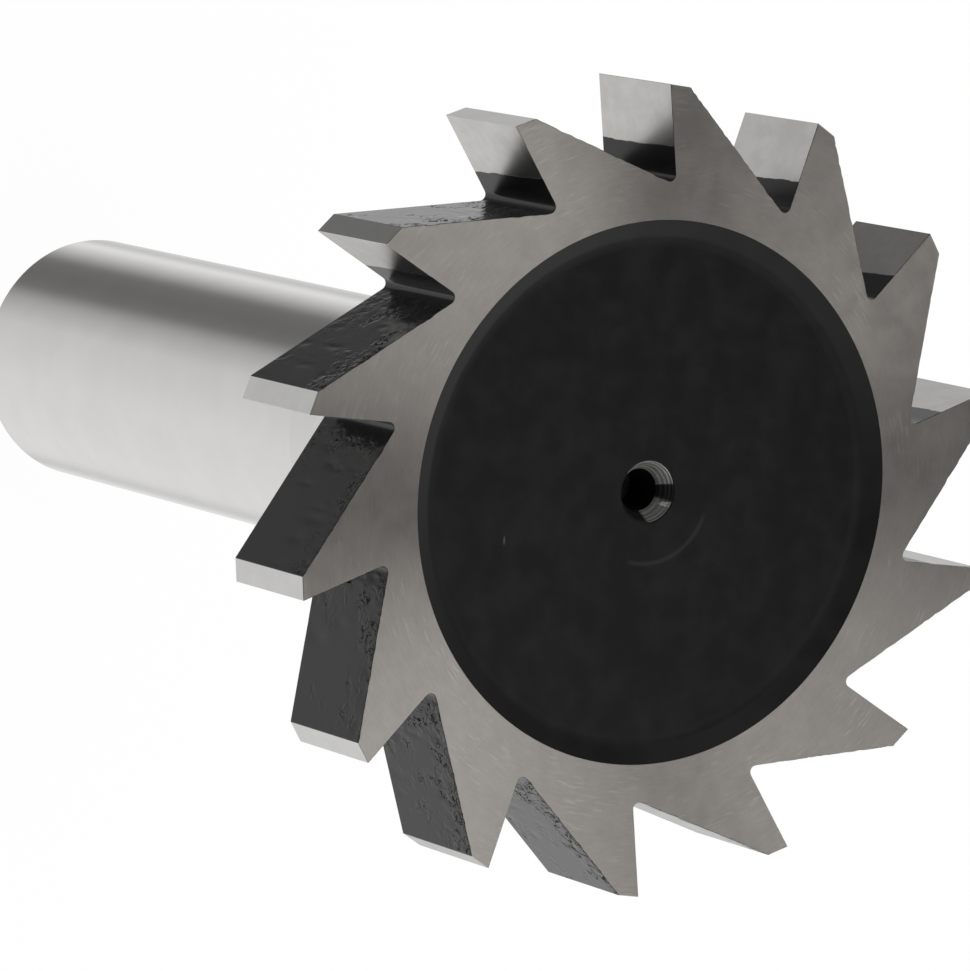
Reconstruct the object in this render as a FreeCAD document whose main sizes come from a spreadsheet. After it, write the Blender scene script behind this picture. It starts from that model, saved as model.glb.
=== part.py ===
"""Woodruff keyseat cutter: one piece of high-speed steel, turned, milled and ground.

The cutter stands on the end of its shank. Z runs up the axis of the tool, from the shank's end
at zero to the front face of the toothed head, and X runs through the tip of one tooth.
Lengths are in millimetres and angles in degrees.
"""
import FreeCAD, Part
import math
import os

import Sketcher

NODE = "keyseat_cutter"

# alias, value, what it is
SIZES = [
    ("OverallLength", 57.15, "end of the shank to the front face"),
    ("ShankDiameter", 12.7, "ground shank that a holder grips"),
    ("ShankLength", 33.5, "end of the shank to the start of the neck"),
    ("ShankEndChamfer", 0.8, "45 degree chamfer at the end of the shank"),
    ("NeckDiameter", 11.5, "neck behind the head, clear of the work"),
    ("NeckShoulderAngle", 25, "slope of the step from shank to neck"),
    ("NeckFillet", 2.0, "radius between the neck and the head"),
    ("HeadWidth", 6.35, "width of the teeth, and so of the key"),
    ("TipDiameter", 38.5, "circle through the cutting edges"),
    ("ToothCount", 14, "number of teeth"),
    ("ToothDepth", 4.72, "tip circle to the sharp corner under the gullet radius"),
    ("RakeAngle", 6.5, "lean of the cutting face from the radius"),
    ("ReliefAngle", 8, "fall of the land behind the cutting edge"),
    ("LandWidth", 1.14, "length of the land behind the cutting edge"),
    ("GulletRadius", 0.3, "radius at the bottom of the gullet"),
    ("GrindingStock", 0.3, "metal on the blank outside the cutting edges"),
    ("RimWidth", 1.63, "flat ring between the gullets and the recess in each side"),
    ("RecessDepth", 0.6, "depth of the round recess in each side of the head"),
    ("RecessWallAngle", 30, "slope of the recess wall from the face"),
    ("RecessFillet", 0.8, "radius at the foot of the recess wall"),
    ("CentreDiameter", 3.0, "mouth of the centre holes"),
    ("CentreAngle", 60, "full angle of the centre holes"),
    ("PilotDiameter", 2.0, "pilot drilling below each centre"),
    ("PilotDepth", 3.2, "depth of the pilot drilling from the mouth"),
    ("DrillPointAngle", 118, "full angle of the drill point"),
]

# heights and radii that several features share
REAR_FACE = "Sizes.OverallLength - Sizes.HeadWidth"
REAR_FLOOR = "Sizes.OverallLength - Sizes.HeadWidth + Sizes.RecessDepth"
FRONT_FLOOR = "Sizes.OverallLength - Sizes.RecessDepth"
ROOT_ACROSS = "Sizes.TipDiameter / 2 - Sizes.ToothDepth"
ROOT_DOWN = "Sizes.ToothDepth * tan(Sizes.RakeAngle * 1 deg)"
RECESS_MOUTH = "Sizes.TipDiameter / 2 - Sizes.ToothDepth - Sizes.RimWidth"
RECESS_FOOT = f"{RECESS_MOUTH} - Sizes.RecessDepth / tan(Sizes.RecessWallAngle * 1 deg)"
NECK_START = (
    "Sizes.ShankLength"
    " + (Sizes.ShankDiameter - Sizes.NeckDiameter) / 2 / tan(Sizes.NeckShoulderAngle * 1 deg)"
)
CUTTER_REACH = "Sizes.TipDiameter / 4"

EDGE_TOLERANCE = 1e-4


def make_sheet(doc):
    """Driving dimensions, one row each: alias, value, meaning."""
    sheet = doc.addObject("Spreadsheet::Sheet", "Sizes")
    for row, (alias, value, meaning) in enumerate(SIZES, start=1):
        sheet.set(f"A{row}", alias)
        sheet.set(f"B{row}", str(value))
        sheet.set(f"C{row}", meaning)
        sheet.setAlias(f"B{row}", alias)
    doc.recompute()
    return sheet


def value_of(sheet, expression):
    """The number that an expression of the sheet's sizes gives now."""
    return float(sheet.evalExpression(expression))


def base_plane(body, role):
    """The body's own base plane with this role, such as XZ_Plane."""
    return next(item for item in body.Origin.OriginFeatures if item.Role == role)


def add_sketch(body, name, role, height=None):
    """A sketch on one of the body's base planes, lifted by the height expression if one is given."""
    sketch = body.newObject("Sketcher::SketchObject", name)
    sketch.AttachmentSupport = [(base_plane(body, role), "")]
    sketch.MapMode = "FlatFace"
    if height:
        sketch.setExpression("AttachmentOffset.Base.z", height)
    return sketch


def constrain(sketch, kind, *geometry):
    """Adds a constraint that has no size of its own."""
    return sketch.addConstraint(Sketcher.Constraint(kind, *geometry))


def drive(sketch, name, expression, kind, *geometry):
    """Adds a dimension, names it and binds it to an expression of the sheet's sizes."""
    index = sketch.addConstraint(Sketcher.Constraint(kind, *geometry))
    sketch.renameConstraint(index, name)
    sketch.setExpression(f"Constraints.{name}", expression)


def add_outline(sketch, corners):
    """A closed outline of straight lines through the corners, each line from one to the next."""
    lines = []
    for start, end in zip(corners, corners[1:] + corners[:1]):
        lines.append(sketch.addGeometry(Part.LineSegment(start, end), False))
    for line, following in zip(lines, lines[1:] + lines[:1]):
        constrain(sketch, "Coincident", line, 2, following, 1)
    return lines


def check_volume(feature, before, grows):
    """Stops the build if a feature has added or removed nothing."""
    change = feature.Shape.Volume - before
    if (change > 0) != grows or abs(change) < EDGE_TOLERANCE:
        raise RuntimeError(f"{feature.Name} changed the volume by {change:.4f}")


def blank_outline():
    """Half section of the turned blank, as (corner name, radius, height) from the shank's end up."""
    blank_radius = "Sizes.TipDiameter / 2 + Sizes.GrindingStock"
    return [
        ("ShankEnd", "Sizes.ShankDiameter / 2", "0"),
        ("ShankTop", "Sizes.ShankDiameter / 2", "Sizes.ShankLength"),
        ("NeckStart", "Sizes.NeckDiameter / 2", NECK_START),
        ("NeckTop", "Sizes.NeckDiameter / 2", REAR_FLOOR),
        ("RearFoot", RECESS_FOOT, REAR_FLOOR),
        ("RearMouth", RECESS_MOUTH, REAR_FACE),
        ("RearRim", blank_radius, REAR_FACE),
        ("FrontRim", blank_radius, "Sizes.OverallLength"),
        ("FrontMouth", RECESS_MOUTH, "Sizes.OverallLength"),
        ("FrontFoot", RECESS_FOOT, FRONT_FLOOR),
        ("FrontCentre", "0", FRONT_FLOOR),
    ]


def make_blank(doc, body, sheet):
    """The blank, turned about Z: shank, neck, and the head with a shallow recess in each side."""
    sketch = add_sketch(body, "BlankProfile", "XZ_Plane")
    outline = blank_outline()
    corners = [FreeCAD.Vector(0, 0, 0)]
    for _, radius, height in outline:
        corners.append(FreeCAD.Vector(value_of(sheet, radius), value_of(sheet, height), 0))
    lines = add_outline(sketch, corners)
    constrain(sketch, "Coincident", lines[0], 1, -1, 1)
    for line, (name, radius, height) in zip(lines[1:], outline):
        if radius == "0":
            constrain(sketch, "PointOnObject", line, 1, -2)
        else:
            drive(sketch, f"{name}Radius", radius, "DistanceX", -1, 1, line, 1, corners[line].x)
        if height == "0":
            constrain(sketch, "PointOnObject", line, 1, -1)
        else:
            drive(sketch, f"{name}Height", height, "DistanceY", -1, 1, line, 1, corners[line].y)
    blank = body.newObject("PartDesign::Revolution", "Blank")
    blank.Profile = sketch
    blank.ReferenceAxis = (sketch, ["V_Axis"])
    blank.Angle = 360
    doc.recompute()
    check_volume(blank, 0, grows=True)
    return blank


def ring_edges(feature, rings):
    """Names of the feature's full circles about Z at the given (radius, height) pairs."""
    names = []
    for number, edge in enumerate(feature.Shape.Edges, start=1):
        if not isinstance(edge.Curve, Part.Circle) or not edge.isClosed():
            continue
        for radius, height in rings:
            same_radius = math.isclose(edge.Curve.Radius, radius, abs_tol=EDGE_TOLERANCE)
            same_height = math.isclose(edge.Curve.Center.z, height, abs_tol=EDGE_TOLERANCE)
            if same_radius and same_height:
                names.append(f"Edge{number}")
    return names


def upright_edges(feature, radius):
    """Names of the feature's straight edges that run along Z at this distance from it."""
    names = []
    for number, edge in enumerate(feature.Shape.Edges, start=1):
        if not isinstance(edge.Curve, Part.Line):
            continue
        foot, top = (vertex.Point for vertex in edge.Vertexes)
        upright = math.isclose(abs(top.z - foot.z), edge.Length, abs_tol=EDGE_TOLERANCE)
        if upright and math.isclose(math.hypot(foot.x, foot.y), radius, abs_tol=EDGE_TOLERANCE):
            names.append(f"Edge{number}")
    return names


def dress_edges(doc, body, kind, name, base, edges, count, size):
    """A fillet or chamfer, bound to a size, on the edges of the base that were found by place."""
    if len(edges) != count:
        raise RuntimeError(f"{name}: {len(edges)} edges found, not {count}")
    dressed = body.newObject(f"PartDesign::{kind}", name)
    dressed.Base = (base, edges)
    dressed.setExpression("Radius" if kind == "Fillet" else "Size", size)
    doc.recompute()
    return dressed


def soften_blank(doc, body, sheet, blank):
    """Shank-end chamfer, neck radius and the radius at the foot of each recess wall."""
    shank_radius = value_of(sheet, "Sizes.ShankDiameter / 2")
    neck_radius = value_of(sheet, "Sizes.NeckDiameter / 2")
    recess_foot = value_of(sheet, RECESS_FOOT)
    rear_floor = value_of(sheet, REAR_FLOOR)
    front_floor = value_of(sheet, FRONT_FLOOR)

    end_ring = ring_edges(blank, [(shank_radius, 0)])
    chamfered = dress_edges(
        doc, body, "Chamfer", "ShankEndEdge", blank, end_ring, 1, "Sizes.ShankEndChamfer"
    )
    neck_ring = ring_edges(chamfered, [(neck_radius, rear_floor)])
    necked = dress_edges(
        doc, body, "Fillet", "NeckRadius", chamfered, neck_ring, 1, "Sizes.NeckFillet"
    )
    foot_rings = ring_edges(necked, [(recess_foot, rear_floor), (recess_foot, front_floor)])
    return dress_edges(
        doc, body, "Fillet", "RecessRadius", necked, foot_rings, 2, "Sizes.RecessFillet"
    )


def drill_centre(doc, body, base, name, height, upward):
    """A centre hole on the axis: a cone for the lathe's centre over a small pilot drilling."""
    sketch = add_sketch(body, f"{name}Place", "XY_Plane", height)
    circle = sketch.addGeometry(Part.Circle(FreeCAD.Vector(0, 0, 0), FreeCAD.Vector(0, 0, 1), 1.0), False)
    constrain(sketch, "Coincident", circle, 3, -1, 1)
    drive(sketch, "PilotDiameter", "Sizes.PilotDiameter", "Diameter", circle, 2.0)
    doc.recompute()
    before = base.Shape.Volume
    hole = body.newObject("PartDesign::Hole", name)
    hole.Profile = sketch
    hole.Reversed = upward
    hole.ThreadType = "None"
    hole.HoleCutType = "Countersink"
    hole.DepthType = "Dimension"
    hole.DrillPoint = "Angled"
    hole.setExpression("Diameter", "Sizes.PilotDiameter")
    hole.setExpression("Depth", "Sizes.PilotDepth")
    hole.setExpression("HoleCutDiameter", "Sizes.CentreDiameter")
    hole.setExpression("HoleCutCountersinkAngle", "Sizes.CentreAngle")
    hole.setExpression("DrillPointAngle", "Sizes.DrillPointAngle")
    doc.recompute()
    check_volume(hole, before, grows=False)
    return hole


def turned(point, angle):
    """A point turned about the origin by an angle in degrees."""
    return FreeCAD.Rotation(FreeCAD.Vector(0, 0, 1), angle).multVec(point)


def sketch_gullet(body, sheet):
    """One gullet, in front of the tooth on X: its cutting face, and the back and land of the next tooth.

    The cutting face and the land run on past the two cutting edges, out to where nothing is left to cut.
    """
    sketch = add_sketch(body, "GulletProfile", "XY_Plane", "Sizes.OverallLength")
    tip_radius = value_of(sheet, "Sizes.TipDiameter / 2")
    reach = value_of(sheet, CUTTER_REACH)
    pitch = value_of(sheet, "360 / Sizes.ToothCount")
    rake = math.radians(value_of(sheet, "Sizes.RakeAngle"))
    relief = math.radians(value_of(sheet, "Sizes.ReliefAngle"))
    land = value_of(sheet, "Sizes.LandWidth")

    centre = FreeCAD.Vector(0, 0, 0)
    tip = FreeCAD.Vector(tip_radius, 0, 0)
    next_tip = turned(tip, pitch)
    face_way = FreeCAD.Vector(math.cos(rake), math.sin(rake), 0)
    land_way = turned(FreeCAD.Vector(math.sin(relief), math.cos(relief), 0), pitch)
    face_end = tip + face_way * reach
    root = FreeCAD.Vector(value_of(sheet, ROOT_ACROSS), -value_of(sheet, ROOT_DOWN), 0)
    heel = next_tip - land_way * land
    land_end = next_tip + land_way * reach

    face, back, crest, _ = add_outline(sketch, [face_end, root, heel, land_end])
    tip_line = sketch.addGeometry(Part.LineSegment(centre, tip), True)
    next_line = sketch.addGeometry(Part.LineSegment(centre, next_tip), True)
    for line in (tip_line, next_line):
        constrain(sketch, "Coincident", line, 1, -1, 1)
    constrain(sketch, "Equal", tip_line, next_line)
    constrain(sketch, "PointOnObject", tip_line, 2, -1)
    constrain(sketch, "PointOnObject", tip_line, 2, face)
    constrain(sketch, "PointOnObject", next_line, 2, crest)

    drive(sketch, "TipRadius", "Sizes.TipDiameter / 2", "Distance", tip_line, tip_radius)
    drive(sketch, "Pitch", "360 deg / Sizes.ToothCount", "Angle",
          tip_line, 1, next_line, 1, math.radians(pitch))
    drive(sketch, "Rake", "Sizes.RakeAngle * 1 deg", "Angle", tip_line, 1, face, 2, rake)
    drive(sketch, "Relief", "90 deg - Sizes.ReliefAngle * 1 deg", "Angle",
          next_line, 1, crest, 1, math.pi / 2 - relief)
    drive(sketch, "Land", "Sizes.LandWidth", "Distance", next_line, 2, back, 2, land)
    drive(sketch, "RootAcross", ROOT_ACROSS, "DistanceX", -1, 1, back, 1, root.x)
    drive(sketch, "FaceReach", CUTTER_REACH, "Distance", tip_line, 2, face, 1, reach)
    drive(sketch, "LandReach", CUTTER_REACH, "Distance", next_line, 2, crest, 2, reach)
    return sketch


def cut_teeth(doc, body, sheet, base):
    """One gullet milled straight across the head, repeated round the axis, with rounded bottoms."""
    sketch = sketch_gullet(body, sheet)
    doc.recompute()
    gullet = body.newObject("PartDesign::Pocket", "Gullet")
    gullet.Profile = sketch
    gullet.Type = "Length"
    gullet.setExpression("Length", "Sizes.HeadWidth + Sizes.RecessDepth")
    doc.recompute()
    check_volume(gullet, base.Shape.Volume, grows=False)
    teeth = body.newObject("PartDesign::PolarPattern", "Teeth")
    teeth.Originals = [gullet]
    teeth.Axis = (sketch, ["N_Axis"])
    teeth.Angle = 360
    teeth.setExpression("Occurrences", "Sizes.ToothCount")
    body.Tip = teeth
    doc.recompute()
    check_volume(teeth, gullet.Shape.Volume, grows=False)
    root_radius = math.hypot(value_of(sheet, ROOT_ACROSS), value_of(sheet, ROOT_DOWN))
    roots = upright_edges(teeth, root_radius)
    return dress_edges(
        doc, body, "Fillet", "GulletRoots", teeth, roots, value_of(sheet, "Sizes.ToothCount"),
        "Sizes.GulletRadius",
    )


def make_cutter(doc, sheet):
    """The whole cutter as one body."""
    body = doc.addObject("PartDesign::Body", "Cutter")
    body.Label = NODE
    blank = make_blank(doc, body, sheet)
    softened = soften_blank(doc, body, sheet, blank)
    shank_centre = drill_centre(doc, body, softened, "ShankCentre", None, upward=True)
    front_centre = drill_centre(doc, body, shank_centre, "FrontCentre", FRONT_FLOOR, upward=False)
    cut_teeth(doc, body, sheet, front_centre)
    return body


def check_model(doc, bodies):
    """Stops the build if any object has failed or any body isn't one closed solid."""
    for item in doc.Objects:
        if "Invalid" in item.State or "Error" in item.State:
            raise RuntimeError(f"{item.Name} failed: {item.State}")
    for body in bodies:
        shape = body.Shape
        if shape.isNull() or not shape.isValid() or len(shape.Solids) != 1:
            raise RuntimeError(f"{body.Label} isn't one valid solid")


def main():
    """Builds the cutter, checks it and writes its file."""
    os.makedirs("parts", exist_ok=True)
    doc = FreeCAD.newDocument("KeyseatCutter")
    sheet = make_sheet(doc)
    cutter = make_cutter(doc, sheet)
    check_model(doc, [cutter])
    cutter.Shape.exportStep(f"parts/{cutter.Label}.step")
    box = cutter.Shape.BoundBox
    print(f"{cutter.Label}: {box.XLength:.3f} x {box.YLength:.3f} x {box.ZLength:.3f} mm,"
          f" {cutter.Shape.Volume:.1f} cubic mm, {len(cutter.Shape.Faces)} faces")


main()
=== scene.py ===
"""Looks of the keyseat cutter: one piece of high-speed steel, turned, milled, blackened and ground.

The cutter stands on the end of its shank at the origin, with Z up its axis and X through one tooth's
tip. Sizes are in millimetres and are turned to metres where a mesh, lamp or camera is made.
Points of the toothed outline are complex numbers, x + iy, so a turn about Z is a product.
"""
import math

import bpy
import numpy as np
from mathutils import Matrix, Vector


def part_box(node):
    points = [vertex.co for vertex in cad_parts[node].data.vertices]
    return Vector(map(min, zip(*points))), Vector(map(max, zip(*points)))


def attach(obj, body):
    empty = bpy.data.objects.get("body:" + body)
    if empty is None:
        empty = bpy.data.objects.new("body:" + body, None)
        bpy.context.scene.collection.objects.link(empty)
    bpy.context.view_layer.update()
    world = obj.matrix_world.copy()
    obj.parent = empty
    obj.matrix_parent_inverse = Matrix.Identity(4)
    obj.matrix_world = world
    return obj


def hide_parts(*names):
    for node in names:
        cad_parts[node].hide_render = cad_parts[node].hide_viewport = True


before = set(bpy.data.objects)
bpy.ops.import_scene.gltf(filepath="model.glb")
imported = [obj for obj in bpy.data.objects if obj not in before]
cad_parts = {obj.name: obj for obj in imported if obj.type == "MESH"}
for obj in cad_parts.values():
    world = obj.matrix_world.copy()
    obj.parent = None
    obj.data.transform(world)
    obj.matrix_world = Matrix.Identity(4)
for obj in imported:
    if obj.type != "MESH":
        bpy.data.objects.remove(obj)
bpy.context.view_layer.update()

MM = 0.001
NODE = "keyseat_cutter"
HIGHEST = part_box(NODE)[1]

# head
TIP_RADIUS = HIGHEST.x / MM
FRONT = HIGHEST.z / MM
HEAD_WIDTH = 6.35
REAR = FRONT - HEAD_WIDTH
TEETH = 14
PITCH = 2 * math.pi / TEETH
TOOTH_DEPTH = 4.72
RAKE = math.radians(6.5)
RELIEF = math.radians(8)
LAND_WIDTH = 1.14
GULLET_RADIUS = 0.3
EDGE_BREAK = 0.02

# recess in each side of the head
RECESS_MOUTH = 12.9
RECESS_DEPTH = 0.6
RECESS_SLOPE = math.radians(30)
RECESS_FOOT = RECESS_MOUTH - RECESS_DEPTH / math.tan(RECESS_SLOPE)
RECESS_FILLET = 0.8
FRONT_FLOOR = FRONT - RECESS_DEPTH
REAR_FLOOR = REAR + RECESS_DEPTH

# centre holes
CENTRE_RADIUS = 1.5
PILOT_RADIUS = 1.0
PILOT_DEPTH = 3.2
CENTRE_HALF_ANGLE = math.radians(30)
DRILL_HALF_ANGLE = math.radians(59)
CHATTER_RIDGES = 4
CHATTER_DEPTH = 0.022
CHATTER_CROWDING = 1.3
DARK_RIM = 0.05

# shank and neck
SHANK_RADIUS = 6.35
SHANK_LENGTH = 33.5
SHANK_CHAMFER = 0.8
NECK_RADIUS = 5.75
SHOULDER_SLOPE = math.radians(25)
NECK_FILLET = 2.0

# columns of the mesh round one tooth pitch, from its heel to the next heel
LAND_STEPS = 4
FACE_STEPS = 9
BOTTOM_STEPS = 6
BACK_STEPS = 75
PITCH_COLUMNS = LAND_STEPS + FACE_STEPS + BOTTOM_STEPS + BACK_STEPS + 2

# columns of the whole toothed part, and the fewer ones of the turned parts
FINE_COLUMNS = TEETH * PITCH_COLUMNS
FINE_TO_TURNED = 6
TURNED_COLUMNS = FINE_COLUMNS // FINE_TO_TURNED

# direction of the first column at the mouth of the recess, with which the quads on the sides slant least
FIRST_SPOKE = math.radians(-7.1)

# rows of the toothed part: rings on each side of the head, as shares of the way from the mouth of the
# recess to the outline, and rows over the teeth, closer together in a band behind the front side
SIDE_RINGS = (0.12, 0.55, 1)
CLOSE_BAND = 2.4
CLOSE_ROWS = 26
WIDE_ROWS = 20
TOOTHED_ROWS = 2 * len(SIDE_RINGS) + CLOSE_ROWS + WIDE_ROWS - 1

# steps of the turned profiles
STRAIGHT_STEPS = 3
FLOOR_STEPS = 6
FOOT_STEPS = 6
NECK_STEPS = 9
RIDGE_STEPS = 5
SHARP_TURN = math.radians(20)

# marks that the milling cutter left on the tooth backs, with least and greatest sizes
TEAR_SEED = 11
TEARS_PER_BACK = 22
TEARS_NEAR_BOTTOM = 0.4
TEAR_LENGTHS = (0.14, 0.3)
TEAR_WIDTHS = (0.25, 0.8)
TEAR_DEPTHS = (0.006, 0.03)
CHIPS_PER_BACK = 16
CHIP_LENGTHS = (0.08, 0.25)
CHIP_WIDTHS = (0.06, 0.3)
LEAST_CHIP_DEPTH = 0.01
ADDED_CHIP_DEPTH = 0.04
TEAR_FADE = 0.3


# Outline of the teeth

def unit(point):
    """A complex number's direction."""
    return point / abs(point)


def straight(start, end, steps):
    """Points from start towards end in equal steps, without the end."""
    return start + (end - start) * np.arange(steps) / steps


def gullet_bottom(root, face_way, back_way):
    """Arc that rounds the corner between two straight lines from root: its start, its points and its end.

    Both ends lie radius / tan(half the corner's angle) from the corner, and the centre lies on the
    bisector at radius / sin(half the angle).
    """
    half_angle = abs(np.angle(back_way / face_way)) / 2
    start = root + face_way * GULLET_RADIUS / math.tan(half_angle)
    end = root + back_way * GULLET_RADIUS / math.tan(half_angle)
    centre = root + unit(face_way + back_way) * GULLET_RADIUS / math.sin(half_angle)
    sweep = np.angle((end - centre) / (start - centre))
    turns = np.exp(1j * sweep * np.arange(BOTTOM_STEPS) / BOTTOM_STEPS)
    return start, centre + (start - centre) * turns, end


def pitch_outline():
    """One pitch of the outline from the heel of the tooth on X: land, cutting face, bottom and back."""
    tip = complex(TIP_RADIUS, 0)
    land_way = 1j * np.exp(-1j * RELIEF)
    heel = tip - LAND_WIDTH * land_way
    root = tip - TOOTH_DEPTH * (1 + 1j * math.tan(RAKE))
    next_heel = heel * np.exp(1j * PITCH)
    face_way = unit(tip - root)
    back_way = unit(next_heel - root)
    bottom_start, bottom, bottom_end = gullet_bottom(root, face_way, back_way)
    land_end = tip - EDGE_BREAK * land_way
    back_end = next_heel - EDGE_BREAK * back_way
    return np.concatenate([
        straight(heel + EDGE_BREAK * land_way, land_end, LAND_STEPS),
        [land_end],
        straight(tip - EDGE_BREAK * face_way, bottom_start, FACE_STEPS),
        bottom,
        straight(bottom_end, back_end, BACK_STEPS),
        [back_end],
    ])


def whole_outline():
    """All teeth counter-clockwise: points, outward normals, and the length run since each tooth's heel."""
    pitch = pitch_outline()
    turns = np.exp(1j * PITCH * np.arange(TEETH))
    points = (turns[:, None] * pitch).ravel()
    normals = unit(np.roll(points, 1) - np.roll(points, -1)) * 1j
    run = np.concatenate([[0], np.cumsum(abs(np.diff(pitch)))])
    return points, normals, np.tile(run, TEETH)


# Tears and chips of the tooth backs

def furrows(along, height, centres, lengths, widths, depths):
    """Depth of bell-shaped furrows on a grid of heights by places along the back.

    Each is depth * exp(-(distance along / length)^2 - (distance in height / width)^2); the deepest counts.
    """
    away = (along[None, None, :] - centres[:, 0, None, None]) / lengths[:, None, None]
    aside = (height[None, :, None] - centres[:, 1, None, None]) / widths[:, None, None]
    return (depths[:, None, None] * np.exp(-away ** 2 - aside ** 2)).max(axis=0)


def torn_back(along, height, chance):
    """Tears and front-edge chips of one tooth's back, fading out at the gullet's bottom and the heel.

    Most tears crowd towards the front side, by the cube of an even draw. The share of TEARS_NEAR_BOTTOM
    lies at any height instead, in the half of the back next to the bottom. Most chips are shallow.
    """
    start, end = along[0], along[-1]
    length = end - start
    spots = chance.random((TEARS_PER_BACK, 2))
    near_bottom = chance.random(TEARS_PER_BACK) < TEARS_NEAR_BOTTOM
    across = np.where(near_bottom, spots[:, 1], spots[:, 1] ** 3)
    forward = np.where(near_bottom, spots[:, 0] ** 2 / 2, spots[:, 0])
    centres = np.stack([start + length * forward, FRONT - HEAD_WIDTH * across], axis=1)
    tears = furrows(
        along, height, centres,
        chance.uniform(*TEAR_LENGTHS, TEARS_PER_BACK),
        chance.uniform(*TEAR_WIDTHS, TEARS_PER_BACK),
        chance.uniform(*TEAR_DEPTHS, TEARS_PER_BACK),
    )
    edge_places = start + length * chance.random(CHIPS_PER_BACK)
    edge_centres = np.stack([edge_places, np.full(CHIPS_PER_BACK, FRONT)], axis=1)
    chips = furrows(
        along, height, edge_centres,
        chance.uniform(*CHIP_LENGTHS, CHIPS_PER_BACK),
        chance.uniform(*CHIP_WIDTHS, CHIPS_PER_BACK),
        LEAST_CHIP_DEPTH + ADDED_CHIP_DEPTH * chance.random(CHIPS_PER_BACK) ** 3,
    )
    fade = np.clip(np.minimum(along - start, end - along) / TEAR_FADE, 0, 1)
    return np.maximum(tears, chips) * fade


def all_torn_backs(run, height):
    """Depth of the torn surface under the milled one, for every height and column of the toothed part."""
    chance = np.random.default_rng(TEAR_SEED)
    depth = np.zeros((len(height), FINE_COLUMNS))
    first_back = LAND_STEPS + FACE_STEPS + BOTTOM_STEPS + 1
    for tooth in range(TEETH):
        columns = slice(tooth * PITCH_COLUMNS + first_back, (tooth + 1) * PITCH_COLUMNS)
        depth[:, columns] = torn_back(run[columns], height, chance)
    return depth


# Profiles of the turned parts, from the front pole to the rear one

def profile(start, end, steps):
    """Points (radius, height) from start towards end in equal steps, without the end."""
    share = np.arange(steps)[:, None] / steps
    return np.array(start) + (np.array(end) - np.array(start)) * share


def profile_arc(centre, radius, first, last, steps):
    """Points centre + radius * (cos a, sin a), with a from first to last in degrees."""
    angle = np.radians(np.linspace(first, last, steps + 1))
    return np.array(centre) + radius * np.stack([np.cos(angle), np.sin(angle)], axis=1)


def centre_hole(mouth_height, inward):
    """Centre hole from its pilot's bottom ring up to its mouth; the cone carries chatter ridges.

    The cone's radius is less by ridge depth * sin^2(pi * ridges * way^crowding), where way runs from 0
    at the cone's foot to 1 at its mouth.
    """
    cone_depth = (CENTRE_RADIUS - PILOT_RADIUS) / math.tan(CENTRE_HALF_ANGLE)
    pilot_bottom = mouth_height + inward * PILOT_DEPTH
    cone_foot = mouth_height + inward * cone_depth
    pilot = profile((PILOT_RADIUS, pilot_bottom), (PILOT_RADIUS, cone_foot), STRAIGHT_STEPS)
    way = np.linspace(0, 1, CHATTER_RIDGES * RIDGE_STEPS + 1)
    ridge = CHATTER_DEPTH * np.sin(math.pi * CHATTER_RIDGES * way ** CHATTER_CROWDING) ** 2
    radius = PILOT_RADIUS + (CENTRE_RADIUS - PILOT_RADIUS) * way - ridge
    height = cone_foot + (mouth_height - cone_foot) * way
    return np.concatenate([pilot, np.stack([radius, height], axis=1)])


def drill_point(mouth_height, inward):
    """Place of the pilot's deepest point."""
    depth = PILOT_DEPTH + PILOT_RADIUS / math.tan(DRILL_HALF_ANGLE)
    return 0, 0, mouth_height + inward * depth


def recess_floor(inner_radius, floor, outward, steps):
    """Recess floor from inner_radius out, the radius at its foot, and the wall up to the mouth."""
    tangent = RECESS_FILLET * math.tan(RECESS_SLOPE / 2)
    centre = (RECESS_FOOT - tangent, floor + outward * RECESS_FILLET)
    last = math.degrees(RECESS_SLOPE) - 90
    foot = profile_arc(centre, RECESS_FILLET, -90 * outward, last * outward, FOOT_STEPS)
    flat = profile((inner_radius, floor), foot[0], steps)
    mouth = (RECESS_MOUTH, floor + outward * RECESS_DEPTH)
    wall = profile(foot[-1], mouth, STRAIGHT_STEPS)
    return np.concatenate([flat, foot[:-1], wall, [mouth]])


def front_profile():
    """Front side: centre hole, an edge break at its mouth, recess floor and recess wall to its mouth."""
    hole = centre_hole(FRONT_FLOOR, -1)
    recess = recess_floor(CENTRE_RADIUS + EDGE_BREAK, FRONT_FLOOR, 1, FLOOR_STEPS)
    hole[-1, 1] -= EDGE_BREAK
    return np.concatenate([hole, recess])


def rear_profile():
    """Rear side: recess wall and floor, neck, shoulder, shank, chamfer, flat end and centre hole."""
    recess = recess_floor(NECK_RADIUS + NECK_FILLET, REAR_FLOOR, -1, STRAIGHT_STEPS)[::-1]
    neck_centre = (NECK_RADIUS + NECK_FILLET, REAR_FLOOR - NECK_FILLET)
    neck_fillet = profile_arc(neck_centre, NECK_FILLET, 90, 180, NECK_STEPS)[1:]
    shoulder = SHANK_LENGTH + (SHANK_RADIUS - NECK_RADIUS) / math.tan(SHOULDER_SLOPE)
    corners = [
        neck_fillet[-1],
        (NECK_RADIUS, shoulder),
        (SHANK_RADIUS, SHANK_LENGTH),
        (SHANK_RADIUS, SHANK_CHAMFER),
        (SHANK_RADIUS - SHANK_CHAMFER, 0),
        (CENTRE_RADIUS, 0),
    ]
    spans = [profile(start, end, STRAIGHT_STEPS) for start, end in zip(corners, corners[1:])]
    hole = centre_hole(0, 1)[::-1]
    return np.concatenate([recess, neck_fillet[:-1], *spans, hole])


# Points of the mesh

def turned_points(outline, spokes):
    """Points of a profile turned about Z, ring by ring: (radius * spoke, height)."""
    ring = outline[:, 0, None] * spokes[None, :]
    height = np.broadcast_to(outline[:, 1, None], ring.shape)
    return np.stack([ring.real, ring.imag, height], axis=2).reshape(-1, 3)


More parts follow.
